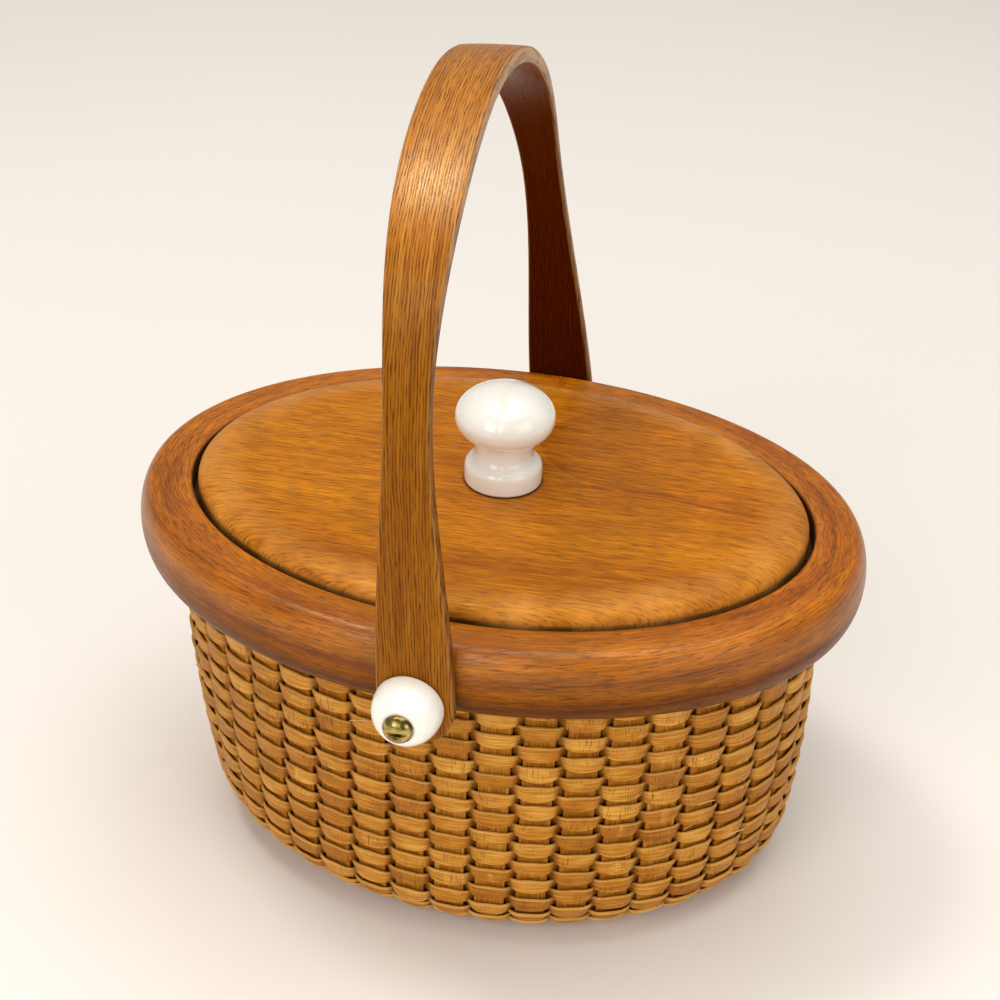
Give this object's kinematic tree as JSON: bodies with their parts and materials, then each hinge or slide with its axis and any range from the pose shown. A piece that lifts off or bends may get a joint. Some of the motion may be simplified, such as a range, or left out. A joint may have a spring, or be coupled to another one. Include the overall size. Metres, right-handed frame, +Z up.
{
  "type": "nantucket basket",
  "caption": "Oval lidded basket of woven cane on upright staves, with a hardwood rim and lid, a round lid knob and a bentwood swing handle on two domed pivots.",
  "frame": {"origin": "middle of the base board's underside, on the surface the basket stands on", "axes": "+Z up, X along the oval's long axis, Y across it along the handle's pivot axis; the front pivot is at -Y"},
  "size_m": [0.2416, 0.224, 0.2723],
  "materials": {
    "cherry_rim": "satin oiled cherry",
    "cherry_lid": "satin oiled cherry",
    "oak": "satin oiled oak, bent",
    "pine": "sanded, oiled",
    "cane": "split cane with a slight sheen",
    "cane_stave": "split cane",
    "porcelain": "glazed white",
    "brass": "aged, polished on the high spots"
  },
  "bodies": {
    "basket": {"base_board": "pine", "stave_01": "cane_stave", "stave_02": "cane_stave", "stave_03": "cane_stave", "stave_04": "cane_stave", "stave_05": "cane_stave", "stave_06": "cane_stave", "stave_07": "cane_stave", "stave_08": "cane_stave", "stave_09": "cane_stave", "stave_10": "cane_stave", "stave_11": "cane_stave", "stave_12": "cane_stave", "stave_13": "cane_stave", "stave_14": "cane_stave", "stave_15": "cane_stave", "stave_16": "cane_stave", "stave_17": "cane_stave", "stave_18": "cane_stave", "stave_19": "cane_stave", "stave_20": "cane_stave", "stave_21": "cane_stave", "stave_22": "cane_stave", "stave_23": "cane_stave", "stave_24": "cane_stave", "stave_25": "cane_stave", "stave_26": "cane_stave", "stave_27": "cane_stave", "stave_28": "cane_stave", "stave_29": "cane_stave", "stave_30": "cane_stave", "stave_31": "cane_stave", "stave_32": "cane_stave", "stave_33": "cane_stave", "stave_34": "cane_stave", "stave_35": "cane_stave", "stave_36": "cane_stave", "stave_37": "cane_stave", "stave_38": "cane_stave", "stave_39": "cane_stave", "stave_40": "cane_stave", "stave_41": "cane_stave", "stave_42": "cane_stave", "stave_43": "cane_stave", "cane_weaver": "cane", "rim": "cherry_rim", "pivot_knob_front": "porcelain", "pivot_knob_back": "porcelain", "pivot_screw_front": "brass", "pivot_screw_back": "brass"},
    "handle": {"handle": "oak"},
    "lid": {"lid": "cherry_lid", "lid_knob": "porcelain", "lid_screw": "brass"}
  },
  "joints": [
    {"name": "handle_swing", "type": "hinge", "parent": "basket", "child": "handle", "pos_m": [-0.0011, 0, 0.1108], "axis": [0, 1, 0], "range_deg": [-110.23, 119.77]},
    {"name": "lid_lift", "type": "slide", "parent": "basket", "child": "lid", "axis": [0, 0, 1], "range_m": [0, 0.07]}
  ]
}
